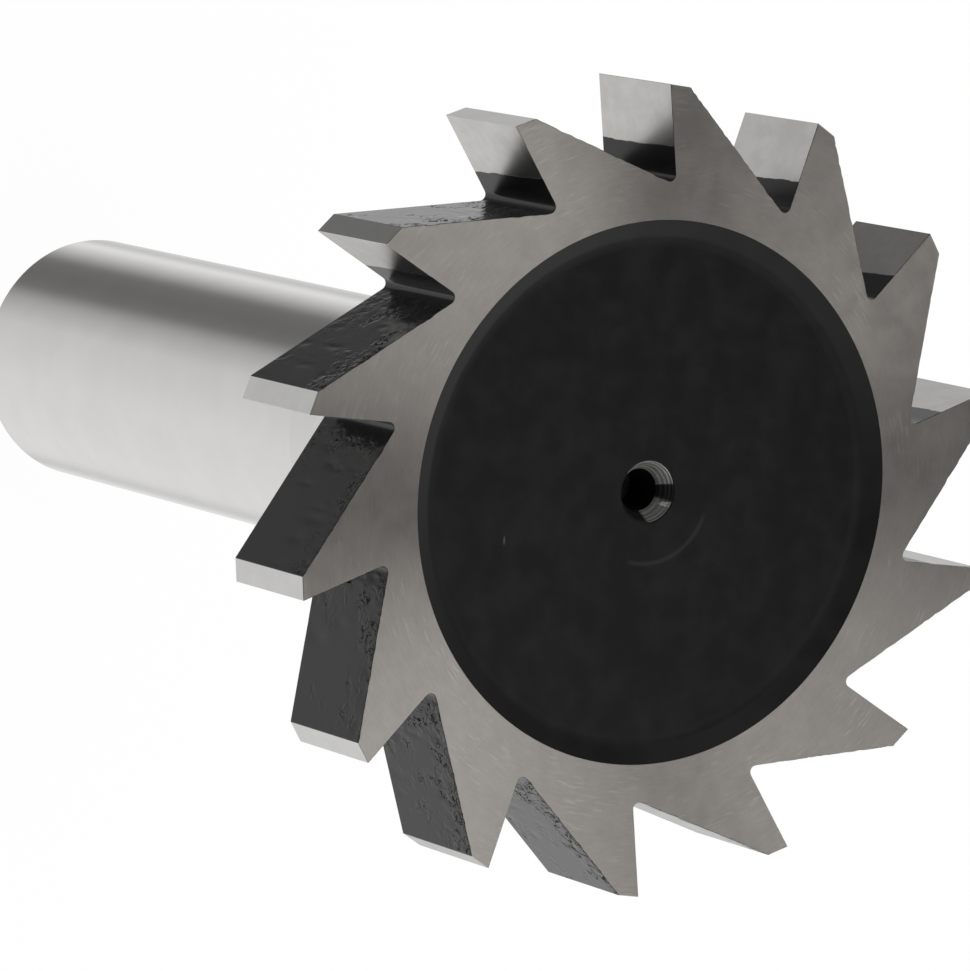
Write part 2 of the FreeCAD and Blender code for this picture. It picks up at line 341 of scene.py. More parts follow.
def toothed_points(spokes):
    """Points of the toothed part, row by row from the front ring over the teeth to the rear ring.

    A point is mouth circle * (1 - reach) + edge * reach, where the edge is the outline set back by the
    row's inset and by the depth of the tears there. With each point comes its place on its tooth: the
    length along the outline from the heel, the height, and the tooth's number.
    """
    outline, normals, run = whole_outline()
    over_teeth = np.concatenate([
        np.linspace(FRONT - EDGE_BREAK, FRONT - CLOSE_BAND, CLOSE_ROWS),
        np.linspace(FRONT - CLOSE_BAND, REAR + EDGE_BREAK, WIDE_ROWS)[1:],
    ])
    rings = len(SIDE_RINGS)
    reach = np.concatenate([SIDE_RINGS, np.ones(len(over_teeth)), SIDE_RINGS[::-1]])
    inset = np.concatenate([[EDGE_BREAK] * rings, np.zeros(len(over_teeth)), [EDGE_BREAK] * rings])
    height = np.concatenate([[FRONT] * rings, over_teeth, [REAR] * rings])
    setback = inset[:, None] + all_torn_backs(run, height)
    edge = outline[None, :] - setback * normals[None, :]
    place = RECESS_MOUTH * spokes * (1 - reach[:, None]) + edge * reach[:, None]
    heights = np.broadcast_to(height[:, None], place.shape)
    points = np.stack([place.real, place.imag, heights], axis=2)
    tooth = np.repeat(np.arange(TEETH), PITCH_COLUMNS)
    along_tooth = np.stack(np.broadcast_arrays(run[None, :], height[:, None], tooth[None, :]), axis=2)
    return points.reshape(-1, 3), along_tooth.reshape(-1, 3)


# Faces of the mesh

def quads_between_rows(first, rows, columns):
    """Quads of a closed band of rows by columns, whose vertices start at number first."""
    row = np.arange(rows - 1)[:, None] * columns + first
    here = np.arange(columns)[None, :]
    there = (here + 1) % columns
    corners = [row + here, row + columns + here, row + columns + there, row + there]
    return np.stack(corners, axis=2).reshape(-1, 4)


def pole_triangles(pole, ring, at_front):
    """Triangles from a pole to the ring of turned columns round it, which starts at number ring."""
    here = np.arange(TURNED_COLUMNS) + ring
    there = np.roll(here, -1)
    poles = np.full(TURNED_COLUMNS, pole)
    return np.stack([poles, here, there] if at_front else [poles, there, here], axis=1)


def joining_faces(turned_ring, fine_ring, at_front):
    """Flat faces between a ring of turned columns and the ring of fine columns beside it."""
    here = np.arange(TURNED_COLUMNS)
    there = (here + 1) % TURNED_COLUMNS
    fine = (here[:, None] * FINE_TO_TURNED + np.arange(FINE_TO_TURNED + 1)[None, :]) % FINE_COLUMNS
    corners = np.concatenate([
        (turned_ring + here)[:, None], fine_ring + fine, (turned_ring + there)[:, None],
    ], axis=1)
    return corners if at_front else corners[:, ::-1]


def finish_number(name):
    """Number of a finish among the cutter's materials."""
    return list(MAKE_FINISH).index(name)


def turned_finishes(outline, at_front):
    """Finish of each quad of a turned profile, by the middle height and radius of its band."""
    radius = (outline[1:, 0] + outline[:-1, 0]) / 2
    finish = np.full(len(radius), finish_number("black_recess"))
    if not at_front:
        on_shank = (outline[1:, 1] + outline[:-1, 1]) / 2 < REAR_FLOOR - NECK_FILLET / 2
        finish[on_shank] = finish_number("ground_shank")
    on_cone = (radius < CENTRE_RADIUS - DARK_RIM) & (radius > PILOT_RADIUS)
    finish[on_cone] = finish_number("centre_hole")
    return np.repeat(finish, TURNED_COLUMNS)


def toothed_finishes():
    """Finish of each quad of the toothed part: ground rings, and by column on the sides of the teeth."""
    steps = [LAND_STEPS + 1, FACE_STEPS, BOTTOM_STEPS + BACK_STEPS + 1]
    numbers = [finish_number(name) for name in ("ground_land", "cutting_face", "milled_back")]
    finish = np.tile(np.repeat(numbers, steps), (TOOTHED_ROWS - 1, TEETH))
    bands = len(SIDE_RINGS) - 1
    finish[:bands] = finish_number("ground_side")
    finish[-bands:] = finish_number("ground_side")
    return finish.ravel()


def cutter_faces(front, rear):
    """Corners and finish of each face, from the front pole over the toothed part to the rear pole."""
    front_first = 1
    toothed_first = front_first + len(front) * TURNED_COLUMNS
    rear_first = toothed_first + TOOTHED_ROWS * FINE_COLUMNS
    rear_pole = rear_first + len(rear) * TURNED_COLUMNS
    front_mouth = toothed_first - TURNED_COLUMNS
    toothed_last = rear_first - FINE_COLUMNS
    rear_last = rear_pole - TURNED_COLUMNS
    black = np.full(TURNED_COLUMNS, finish_number("black_recess"))
    ground = np.full(TURNED_COLUMNS, finish_number("ground_side"))
    blocks = [
        (pole_triangles(0, front_first, True), black),
        (quads_between_rows(front_first, len(front), TURNED_COLUMNS), turned_finishes(front, True)),
        (joining_faces(front_mouth, toothed_first, True), ground),
        (quads_between_rows(toothed_first, TOOTHED_ROWS, FINE_COLUMNS), toothed_finishes()),
        (joining_faces(rear_first, toothed_last, False), ground),
        (quads_between_rows(rear_first, len(rear), TURNED_COLUMNS), turned_finishes(rear, False)),
        (pole_triangles(rear_pole, rear_last, False), black),
    ]
    faces = []
    for corners, _ in blocks:
        faces += corners.tolist()
    return faces, np.concatenate([finish for _, finish in blocks])


# Sharp edges of the mesh

def sharp_turned_rows(outline):
    """True for the ends of a turned profile and each point where it turns by more than SHARP_TURN."""
    way = np.diff(outline, axis=0)
    angle = np.arctan2(way[:, 1], way[:, 0])
    turn = abs((np.diff(angle) + math.pi) % (2 * math.pi) - math.pi)
    return np.concatenate([[True], turn > SHARP_TURN, [True]])


def sharp_toothed_rows():
    """True for the rows on both sides of the edge breaks round the two sides of the head."""
    outer_ring = len(SIDE_RINGS) - 1
    sharp = np.zeros(TOOTHED_ROWS, bool)
    sharp[[outer_ring, outer_ring + 1, -outer_ring - 2, -outer_ring - 1]] = True
    return sharp


def sharp_pitch_columns():
    """True for the columns on both sides of the edge breaks at heel and tip, then a False for no column."""
    sharp = np.zeros(PITCH_COLUMNS + 1, bool)
    sharp[[0, LAND_STEPS, LAND_STEPS + 1, PITCH_COLUMNS - 1]] = True
    return sharp


def mark_sharp_edges(mesh, front, rear):
    """Marks as sharp each edge that runs along a sharp row or a sharp column.

    A row is a pole, a ring of a turned part or a row of the toothed part. Only the last has columns.
    """
    turned_before = [TURNED_COLUMNS] * len(front)
    turned_after = [TURNED_COLUMNS] * len(rear)
    row_sizes = [1, *turned_before, *[FINE_COLUMNS] * TOOTHED_ROWS, *turned_after, 1]
    row_of = np.repeat(np.arange(len(row_sizes)), row_sizes)
    column_of = np.concatenate([
        np.full(1 + sum(turned_before), PITCH_COLUMNS),
        np.tile(np.arange(PITCH_COLUMNS), TEETH * TOOTHED_ROWS),
        np.full(sum(turned_after) + 1, PITCH_COLUMNS),
    ])
    sharp_row = np.concatenate([
        [False], sharp_turned_rows(front), sharp_toothed_rows(), sharp_turned_rows(rear), [False],
    ])
    sharp_column = sharp_pitch_columns()
    ends = np.empty(len(mesh.edges) * 2, int)
    mesh.edges.foreach_get("vertices", ends)
    start, end = ends.reshape(-1, 2).T
    along_row = (row_of[start] == row_of[end]) & sharp_row[row_of[start]]
    along_column = (column_of[start] == column_of[end]) & sharp_column[column_of[start]]
    mark = mesh.attributes.new("sharp_edge", "BOOLEAN", "EDGE")
    mark.data.foreach_set("value", along_row | along_column)


# The cutter

def make_cutter():
    """The whole cutter as one closed mesh, with a finish on each of its faces."""
    spokes = np.exp(1j * (FIRST_SPOKE + 2 * math.pi * np.arange(FINE_COLUMNS) / FINE_COLUMNS))
    front = front_profile()
    rear = rear_profile()
    before_teeth = np.concatenate([
        [drill_point(FRONT_FLOOR, -1)], turned_points(front, spokes[::FINE_TO_TURNED]),
    ])
    toothed, along_tooth = toothed_points(spokes)
    after_teeth = np.concatenate([
        turned_points(rear, spokes[::FINE_TO_TURNED]), [drill_point(0, 1)],
    ])
    points = np.concatenate([before_teeth, toothed, after_teeth])
    faces, finishes = cutter_faces(front, rear)

    mesh = bpy.data.meshes.new("cutter")
    mesh.from_pydata((points * MM).tolist(), [], faces)
    mesh.polygons.foreach_set("use_smooth", np.ones(len(faces), bool))
    mesh.polygons.foreach_set("material_index", finishes)
    place = np.concatenate([np.zeros_like(before_teeth), along_tooth, np.zeros_like(after_teeth)])
    mesh.attributes.new("along_tooth", "FLOAT_VECTOR", "POINT").data.foreach_set("vector", place.ravel())
    mark_sharp_edges(mesh, front, rear)
    for make_finish in MAKE_FINISH.values():
        mesh.materials.append(make_finish())
    cutter = bpy.data.objects.new("cutter", mesh)
    bpy.context.scene.collection.objects.link(cutter)
    return cutter


# Nodes of the finishes

GRAIN_RADIUS = 14.0
TOOTH_SHIFT = 7.3
ENDLESS = 1e9
NOISE_SPAN = (0.3, 0.7)
SOFT_END = 0.05


def add_node(tree, kind, inputs=None, **settings):
    """Adds a node, sets its properties, and sets or links its inputs by name or number."""
    node = tree.nodes.new(kind)
    for name, value in settings.items():
        setattr(node, name, value)
    for name, value in (inputs or {}).items():
        if isinstance(value, bpy.types.NodeSocket):
            tree.links.new(value, node.inputs[name])
        else:
            node.inputs[name].default_value = value
    return node


def new_finish(name):
    """An empty node material and its tree."""
    material = bpy.data.materials.new(name)
    material.use_nodes = True
    material.node_tree.nodes.clear()
    return material, material.node_tree


def combine(tree, operation, first, second=0.0):
    """One of Blender's sums on one or two values."""
    return add_node(tree, "ShaderNodeMath", {0: first, 1: second}, operation=operation).outputs["Value"]


def distance_from(tree, value, target):
    """How far a value lies from a target, on either side."""
    return combine(tree, "ABSOLUTE", combine(tree, "SUBTRACT", value, target))


def combine_vectors(tree, operation, inputs, output="Vector"):
    """One of Blender's sums on vectors."""
    return add_node(tree, "ShaderNodeVectorMath", inputs, operation=operation).outputs[output]


def place_on_object(tree, grain):
    """Object coordinates, scaled so that a unit is a grain of this size in millimetres along x, y and z."""
    here = add_node(tree, "ShaderNodeTexCoord").outputs["Object"]
    scale = [1 / (size * MM) for size in grain]
    return add_node(tree, "ShaderNodeMapping", {"Vector": here, "Scale": scale}).outputs["Vector"]


def place_from_axis(tree):
    """Object coordinates in millimetres, with the height left out by a grain that is endless along z."""
    return place_on_object(tree, (1, 1, ENDLESS))


def place_on_tooth(tree, along, height):
    """Length along the tooth's outline and height, in grains of these sizes, and the tooth's number.

    The number is scaled by TOOTH_SHIFT, so that each tooth has another part of a noise.
    """
    here = add_node(tree, "ShaderNodeAttribute", attribute_name="along_tooth").outputs["Vector"]
    scale = (1 / along, 1 / height, TOOTH_SHIFT)
    return add_node(tree, "ShaderNodeMapping", {"Vector": here, "Scale": scale}).outputs["Vector"]


def tooth_place(tree):
    """Length along the tooth's outline and height in millimetres, and the tooth's number."""
    here = add_node(tree, "ShaderNodeAttribute", attribute_name="along_tooth").outputs["Vector"]
    parts = add_node(tree, "ShaderNodeSeparateXYZ", {"Vector": here}).outputs
    return parts["X"], parts["Y"], parts["Z"]


def radius_from_axis(tree):
    """Distance from the axis in millimetres."""
    return combine_vectors(tree, "LENGTH", {0: place_from_axis(tree)}, "Value")


def way_from_axis(tree):
    """Direction from the axis, as a vector of length 1."""
    return combine_vectors(tree, "NORMALIZE", {0: place_from_axis(tree)})


def place_round_axis(tree, along, across):
    """A place for marks that run round the axis: grains of these sizes along the round and across it.

    It is the direction from the axis times GRAIN_RADIUS / along, with the radius / across for its height.
    """
    round_way = combine_vectors(tree, "SCALE", {0: way_from_axis(tree), "Scale": GRAIN_RADIUS / along})
    height = combine(tree, "MULTIPLY", radius_from_axis(tree), 1 / across)
    lift = add_node(tree, "ShaderNodeCombineXYZ", {"Z": height}).outputs["Vector"]
    return combine_vectors(tree, "ADD", {0: round_way, 1: lift})


def noise(tree, place, detail=3.0, roughness=0.55, distortion=0.0):
    """Noise between 0 and 1 at the given place, one grain a unit."""
    inputs = {
        "Vector": place, "Scale": 1.0, "Detail": detail, "Roughness": roughness, "Distortion": distortion,
    }
    return add_node(tree, "ShaderNodeTexNoise", inputs).outputs["Fac"]


def even_noise(tree, grain, **settings):
    """Noise on the object, with a grain of this size in millimetres in all directions."""
    return noise(tree, place_on_object(tree, (grain, grain, grain)), **settings)


def remap(tree, value, low, high, to_low=0.0, to_high=1.0):
    """Maps low..high to to_low..to_high smoothly, and holds the ends outside."""
    inputs = {"Value": value, "From Min": low, "From Max": high, "To Min": to_low, "To Max": to_high}
    return add_node(tree, "ShaderNodeMapRange", inputs, interpolation_type="SMOOTHSTEP").outputs["Result"]


def spread(tree, value, to_low=0.0, to_high=1.0):
    """Maps the span in which most of a noise lies to to_low..to_high."""
    return remap(tree, value, *NOISE_SPAN, to_low, to_high)


def near_azimuth(tree, azimuth, half_width):
    """1 within half_width degrees of an azimuth round the axis, 0 outside, with soft ends."""
    turn = math.radians(azimuth)
    middle = (math.cos(turn), math.sin(turn), 0)
    nearness = combine_vectors(tree, "DOT_PRODUCT", {0: way_from_axis(tree), 1: middle}, "Value")
    edge = math.cos(math.radians(half_width))
    return remap(tree, nearness, edge - SOFT_END, edge + SOFT_END)


def spot(tree, centre, half_size):
    """1 in the middle of an ellipsoid, 0 outside it. Both arguments are in millimetres along x, y and z."""
    away = combine_vectors(tree, "SUBTRACT", {0: place_on_object(tree, (1, 1, 1)), 1: centre})
    share = combine_vectors(tree, "DIVIDE", {0: away, 1: half_size})
    reach = combine_vectors(tree, "LENGTH", {0: share}, "Value")
    return remap(tree, reach, 1, 0.4)


def blend_colour(tree, share, first, second):
    """A colour between first, at share 0, and second, at share 1.

    Inputs 6 and 7 and output 2 of the Mix node are its colours.
    """
    node = add_node(tree, "ShaderNodeMix", data_type="RGBA")
    sockets = (node.inputs["Factor"], node.inputs[6], node.inputs[7])
    for socket, value in zip(sockets, (share, first, second)):
        if isinstance(value, bpy.types.NodeSocket):
            tree.links.new(value, socket)
        elif isinstance(value, tuple):
            socket.default_value = (*value, 1.0)
        else:
            socket.default_value = value
    return node.outputs[2]


def finish_surface(material, tree, relief, relief_height, **sockets):
    """Ends a material: one shader, its sockets set or linked by name, and a relief in millimetres."""
    bump = {"Height": relief, "Strength": 1.0, "Distance": relief_height * MM}
    inputs = {name.replace("_", " "): value for name, value in sockets.items()}
    inputs["Normal"] = add_node(tree, "ShaderNodeBump", bump).outputs["Normal"]
    shader = add_node(tree, "ShaderNodeBsdfPrincipled", inputs)
    add_node(tree, "ShaderNodeOutputMaterial", {"Surface": shader.outputs["BSDF"]})
    return material


# Finishes

STEEL_LIGHT = (0.56, 0.53, 0.495)
STEEL_DARK = (0.47, 0.445, 0.415)
STREAK_STEEL = (0.61, 0.58, 0.545)
LAND_LIGHT = (0.63, 0.625, 0.615)
LAND_DARK = (0.57, 0.565, 0.555)
FACE_LIGHT = (0.555, 0.54, 0.525)
FACE_DARK = (0.49, 0.475, 0.46)
# bright steel painted where the centre holes' cones look lit, a painted reflection
PAINTED_LIT_STEEL = (0.5, 0.5, 0.47)
# brighter steel painted as a glint in the front centre hole
PAINTED_GLINT_STEEL = (0.85, 0.85, 0.83)
SHANK_LIGHT = (0.68, 0.67, 0.655)
SHANK_DARK = (0.66, 0.65, 0.635)
OXIDE = (0.006, 0.006, 0.0062)
OXIDE_WORN = (0.0088, 0.0088, 0.0088)
# rubbed oxide on crack lips and a scratch, and the painted highlight of the turned ring in the recess
WEAR_AND_HIGHLIGHT = (0.045, 0.045, 0.044)
# painted shade in the cracks of the tooth backs
PAINTED_CRACK_SHADE = (0.001, 0.001, 0.001)
RECESS_IOR = 1.25
OXIDE_IOR = 1.36

# sides of the head: share of the grinding marks in the tone, which leaves the rest to the mottling,
# and the levels of noise between which streaks and their groups appear
MARKS_SHARE = 0.35
STREAK_LEVELS = (0.56, 0.7)
STREAK_GROUP_LEVELS = (0.45, 0.6)

# painted highlight of a turned ring on one arc, scratch and dull corner of the recess: in millimetres, with
# azimuths in degrees
HIGHLIGHT_RING_RADIUS = 3.42
HIGHLIGHT_RING_HALF_WIDTHS = (0.16, 0.04)
HIGHLIGHT_RING_STRENGTH = 0.2
HIGHLIGHT_RING_MIDDLE = 27
HIGHLIGHT_RING_REACH = 42
SCRATCH = (2.0, -7.8, FRONT_FLOOR)
SCRATCH_HALF_SIZE = (0.28, 0.07, 1)
CORNER_HALF_WIDTHS = (0.55, 0.1)
CORNER_ROUGHNESS = 0.62

# in the centre holes: azimuth, half width in degrees and strength of each stretch painted as lit bare
# steel, and a spot painted as a glint
PAINTED_LIT_STRETCHES = ((167, 63, 1.0), (36, 31, 0.42))
GLINT_CENTRE = (0.66, 1.2, FRONT_FLOOR)
GLINT_HALF_SIZE = (0.13, 0.36, 1)

# line between the ground and the black part of the cutting faces
GROUND_OUTSIDE = 16.32
GROUND_TILT = 0.035
GROUND_SWING = 0.12
GROUND_WAVE = 0.06
GROUND_BLUR = 0.02

# torn patches on the backs: heights between which they grow towards the front side, lengths along the
# outline between which they grow towards the bottom and end at it, how much nearness to these lifts
# their noise, and the wave round the teeth, which is highest at WORST_TOOTH
TORN_FROM_HEIGHT = FRONT - 2.8
TORN_FULLY_HEIGHT = FRONT - 0.3
TORN_TO_BOTTOM = (9.6, 7.0)
BOTTOM_END = (5.9, 6.4)
BOTTOM_SHARE = 0.9
NEARNESS_LIFT = 0.22
WORST_TOOTH = 12.5
TEETH_A_WAVE = 5
WAVE_LIFT = 0.06

# levels of that noise between which a back gets torn and then cracked, and how far the ragged noise is
# from the crack's level where a crack fades, where its lips begin and where they end
TORN_LEVELS = (0.55, 0.7)
CRACKED_LEVELS = (0.65, 0.76)
CRACK_LEVEL = 0.5
CRACK_FADES = (0.035, 0.01)
LIPS_BEGIN = (0.03, 0.045)
LIPS_END = (0.075, 0.05)
LIPS_STRENGTH = 0.5

# relief of the backs, as shares of its height, and the dullness of a crack
TORN_RELIEF = 0.4
CRACK_RELIEF = 0.4
FAINT_RELIEF = 0.17
CRACK_ROUGHNESS = 0.85


def ground_side():
    """Sides of the head: warm grey, ground in fine marks round the axis, which stretch its reflections.

    Short light streaks lie along the marks, in loose groups.
    """
    material, tree = new_finish("ground_side")
    marks = noise(tree, place_round_axis(tree, along=0.7, across=0.09), roughness=0.5)
    mottling = even_noise(tree, 1.2, detail=6.0, roughness=0.65)
    marks_tone = combine(tree, "MULTIPLY", spread(tree, marks), MARKS_SHARE)
    mottling_tone = combine(tree, "MULTIPLY", spread(tree, mottling), 1 - MARKS_SHARE)
    colour = blend_colour(tree, combine(tree, "ADD", marks_tone, mottling_tone), STEEL_DARK, STEEL_LIGHT)
    streaks = noise(tree, place_round_axis(tree, along=1.0, across=0.12), detail=2.0)
    streaks = remap(tree, streaks, *STREAK_LEVELS)
    groups = remap(tree, even_noise(tree, 2.5, detail=2.0), *STREAK_GROUP_LEVELS)
    colour = blend_colour(tree, combine(tree, "MULTIPLY", streaks, groups), colour, STREAK_STEEL)
    rough = spread(tree, mottling, 0.4, 0.45)
    round_axis = add_node(tree, "ShaderNodeTangent", direction_type="RADIAL", axis="Z").outputs["Tangent"]
    return finish_surface(
        material, tree, marks, relief_height=0.0012, Base_Color=colour, Metallic=1.0, Roughness=rough,
        Anisotropic=0.9, Anisotropic_Rotation=0.25, Tangent=round_axis,
    )


def black_recess():
    """Blackened recess: nearly black, dull in the corner, with faint turned marks and blotches.

    A thin turned ring is painted light on one arc round the centre hole as its highlight, and one short
    scratch is rubbed light.
    """
    material, tree = new_finish("black_recess")
    turned = noise(tree, place_round_axis(tree, along=6.0, across=0.12))
    blotches = even_noise(tree, 1.4, detail=4.0)
    colour = blend_colour(tree, remap(tree, blotches, 0.35, 0.75), OXIDE, OXIDE_WORN)
    radius = radius_from_axis(tree)
    # painted highlight: a thin ring painted lighter on one arc round the centre hole
    from_ring = distance_from(tree, radius, HIGHLIGHT_RING_RADIUS)
    ring = remap(tree, from_ring, *HIGHLIGHT_RING_HALF_WIDTHS, to_high=HIGHLIGHT_RING_STRENGTH)
    ring = combine(tree, "MULTIPLY", ring, near_azimuth(tree, HIGHLIGHT_RING_MIDDLE, HIGHLIGHT_RING_REACH))
    scratch_and_highlight = combine(tree, "MAXIMUM", ring, spot(tree, SCRATCH, SCRATCH_HALF_SIZE))
    colour = blend_colour(tree, scratch_and_highlight, colour, WEAR_AND_HIGHLIGHT)
    from_foot = distance_from(tree, radius, RECESS_FOOT)
    in_corner = remap(tree, from_foot, *CORNER_HALF_WIDTHS, to_high=CORNER_ROUGHNESS)
    rough = combine(tree, "MAXIMUM", spread(tree, blotches, 0.38, 0.42), in_corner)
    return finish_surface(
        material, tree, turned, relief_height=0.0006, Base_Color=colour, IOR=RECESS_IOR, Roughness=rough,
    )


def centre_hole_steel():
    """Cones of the centre holes: black, with a painted reflection on two stretches of their round, which
    are bright steel where the cone looks lit.

    Fine scores run round them, and a small spot in the front one is painted bright as a glint.
    """
    material, tree = new_finish("centre_hole")
    # painted reflection: the cone is steel on the stretches where it looks lit and black oxide where it
    # mirrors dark
    painted_lit = 0.0
    for azimuth, half_width, strength in PAINTED_LIT_STRETCHES:
        stretch = combine(tree, "MULTIPLY", near_azimuth(tree, azimuth, half_width), strength)
        painted_lit = combine(tree, "MAXIMUM", painted_lit, stretch)
    scores = noise(tree, place_round_axis(tree, along=12.0, across=0.05), detail=2.0)
    painted_lit = combine(tree, "MULTIPLY", painted_lit, spread(tree, scores, 0.6, 1.0))
    # painted glint: a small spot of bright steel on the front cone
    painted_glint = spot(tree, GLINT_CENTRE, GLINT_HALF_SIZE)
    colour = blend_colour(tree, painted_glint, blend_colour(tree, painted_lit, OXIDE, PAINTED_LIT_STEEL), PAINTED_GLINT_STEEL)
    metal = combine(tree, "MAXIMUM", painted_lit, painted_glint)
    return finish_surface(
        material, tree, scores, relief_height=0.002, Base_Color=colour, Metallic=metal, Roughness=0.38,
    )


def ground_land():
    """Lands behind the cutting edges: bright, with fine grinding lines across them."""
    material, tree = new_finish("ground_land")
    lines = noise(tree, place_on_tooth(tree, along=2.0, height=0.06))
    cloudy = noise(tree, place_on_tooth(tree, along=0.9, height=1.3))
    tone = combine(tree, "MULTIPLY", spread(tree, lines), spread(tree, cloudy))
    colour = blend_colour(tree, tone, LAND_DARK, LAND_LIGHT)
    return finish_surface(
        material, tree, lines, relief_height=0.0008, Base_Color=colour, Metallic=1.0, Roughness=0.3,
    )


def cutting_face():
    """Cutting faces: ground bright outside a slightly wavy line, still black inside it.

    The line's radius grows by GROUND_TILT a millimetre of height above the middle of the head.
    """
    material, tree = new_finish("cutting_face")
    swings = remap(tree, even_noise(tree, 9, detail=1.0), 0.2, 0.8, -GROUND_SWING, GROUND_SWING)
    waves = even_noise(tree, 0.8, detail=4.0, roughness=0.65)
    waves = remap(tree, waves, 0.2, 0.8, -GROUND_WAVE, GROUND_WAVE)
    _, height, _ = tooth_place(tree)
    above_middle = combine(tree, "SUBTRACT", height, (FRONT + REAR) / 2)
    outside = combine(tree, "ADD", combine(tree, "ADD", radius_from_axis(tree), swings), waves)
    outside = combine(tree, "SUBTRACT", outside, combine(tree, "MULTIPLY", above_middle, GROUND_TILT))
    ground = remap(tree, outside, GROUND_OUTSIDE - GROUND_BLUR, GROUND_OUTSIDE + GROUND_BLUR)
    cloudy = noise(tree, place_on_tooth(tree, along=1.2, height=1.6), detail=4.0, roughness=0.6)
    bright = blend_colour(tree, spread(tree, cloudy), FACE_DARK, FACE_LIGHT)
    colour = blend_colour(tree, ground, OXIDE, bright)
    lines = noise(tree, place_on_tooth(tree, along=0.9, height=0.08))
    return finish_surface(
        material, tree, lines, relief_height=0.0004, Base_Color=colour, Metallic=ground, IOR=OXIDE_IOR,
        Roughness=0.25,
    )


def torn_patches(tree):
    """Noise that says where a back is torn, raised near the front side, near the bottom and by a wave.

    The wave is a cosine that runs round the teeth. With the patches comes 0 in the bottom, 1 past it.
    """
    along, height, tooth = tooth_place(tree)
    near_front = remap(tree, height, TORN_FROM_HEIGHT, TORN_FULLY_HEIGHT)
    near_bottom = remap(tree, along, *TORN_TO_BOTTOM, to_high=BOTTOM_SHARE)
    nearness = combine(tree, "MAXIMUM", near_front, near_bottom)
    patches = noise(tree, place_on_tooth(tree, along=1.3, height=1.3), roughness=0.5)
    patches = combine(tree, "ADD", patches, combine(tree, "MULTIPLY", nearness, NEARNESS_LIFT))
    from_worst = combine(tree, "SUBTRACT", tooth, WORST_TOOTH)
    wave = combine(tree, "COSINE", combine(tree, "MULTIPLY", from_worst, 2 * math.pi / TEETH_A_WAVE))
    patches = combine(tree, "ADD", patches, combine(tree, "MULTIPLY", wave, WAVE_LIFT))
    return patches, remap(tree, along, *BOTTOM_END)


def milled_back():
    """Backs and gullets: smooth black oxide, with torn patches near the front edge and the bottom.

    A second, ragged noise is the patches' relief. In the worst of them dull cracks follow the lines
    where that noise is CRACK_LEVEL, with painted shade in them and lips rubbed light. Faint waves cross the
    whole back.
    """
    material, tree = new_finish("milled_back")
    patches, past_bottom = torn_patches(tree)
    torn = combine(tree, "MULTIPLY", remap(tree, patches, *TORN_LEVELS), past_bottom)
    cracked = combine(tree, "MULTIPLY", remap(tree, patches, *CRACKED_LEVELS), past_bottom)
    ragged = noise(tree, place_on_tooth(tree, along=0.5, height=0.6), roughness=0.5, distortion=0.8)
    from_crack = distance_from(tree, ragged, CRACK_LEVEL)
    cracks = combine(tree, "MULTIPLY", cracked, remap(tree, from_crack, *CRACK_FADES))
    lips = remap(tree, from_crack, *LIPS_BEGIN, to_high=LIPS_STRENGTH)
    lips = combine(tree, "MULTIPLY", cracked, lips)
    lips = combine(tree, "MULTIPLY", lips, remap(tree, from_crack, *LIPS_END))
    mottling = noise(tree, place_on_tooth(tree, along=1.0, height=1.0), detail=5.0, roughness=0.6)
    colour = blend_colour(tree, remap(tree, mottling, 0.35, 0.7), OXIDE, OXIDE_WORN)
    colour = blend_colour(tree, lips, colour, WEAR_AND_HIGHLIGHT)
    # painted shade: the cracks are coloured darker than the oxide round them
    colour = blend_colour(tree, cracks, colour, PAINTED_CRACK_SHADE)
    relief = combine(tree, "MULTIPLY", torn, spread(tree, ragged, -TORN_RELIEF, TORN_RELIEF))
    relief = combine(tree, "SUBTRACT", relief, combine(tree, "MULTIPLY", cracks, CRACK_RELIEF))
    faint = noise(tree, place_on_tooth(tree, along=0.35, height=1.6))
    relief = combine(tree, "ADD", relief, combine(tree, "MULTIPLY", faint, FAINT_RELIEF))
    smooth = spread(tree, mottling, 0.13, 0.18)
    rough = combine(tree, "MAXIMUM", smooth, combine(tree, "MULTIPLY", cracks, CRACK_ROUGHNESS))
    return finish_surface(
        material, tree, relief, relief_height=0.022, Base_Color=colour, IOR=OXIDE_IOR, Roughness=rough,
    )


def ground_shank():
    """Shank and neck: ground and polished round, light, with soft mottling."""
    material, tree = new_finish("ground_shank")
    lines = noise(tree, place_on_object(tree, (30, 30, 0.09)), detail=4.0, roughness=0.6)
    mottling = even_noise(tree, 2.5, detail=4.0)
    colour = blend_colour(tree, remap(tree, mottling, 0.35, 0.65), SHANK_DARK, SHANK_LIGHT)
    return finish_surface(
        material, tree, lines, relief_height=0.0006, Base_Color=colour, Metallic=1.0, Roughness=0.15,
    )


MAKE_FINISH = {
    "ground_side": ground_side,
    "black_recess": black_recess,
    "centre_hole": centre_hole_steel,
    "ground_land": ground_land,
    "cutting_face": cutting_face,
    "milled_back": milled_back,
    "ground_shank": ground_shank,
}


# Stage, light and camera

WHITE = (1, 1, 1, 1)
FLOOR_SIZE = 1600
FLOOR_WHITE = (0.95, 0.95, 0.95, 1)
FLOOR_GLOW = 0.97

# tone of the paper below the cutter at each azimuth in degrees, and the grey overhead, which has taken
# over where a direction's height, the sine of its elevation, is OVERHEAD_FROM
PAPER_TONES = (
    (0, 0.95), (20, 0.9), (38, 0.68), (60, 0.9), (88, 0.78), (110, 0.6), (125, 1.0), (145, 0.62),
    (163, 0.2), (185, 0.18), (201, 0.21), (215, 0.5), (240, 0.78), (290, 0.92), (330, 0.95), (360, 0.95),
)
OVERHEAD_GREY = 0.03
OVERHEAD_FROM = 0.38

CAMERA_PLACE = (-42.993, -179.547, 337.932)
CAMERA_FORWARD = (0.12772, 0.51419, -0.84811)
CAMERA_UP = (-0.99115, 0.03495, -0.12807)
CAMERA_LENS = 265.69
CAMERA_SENSOR = 36.0


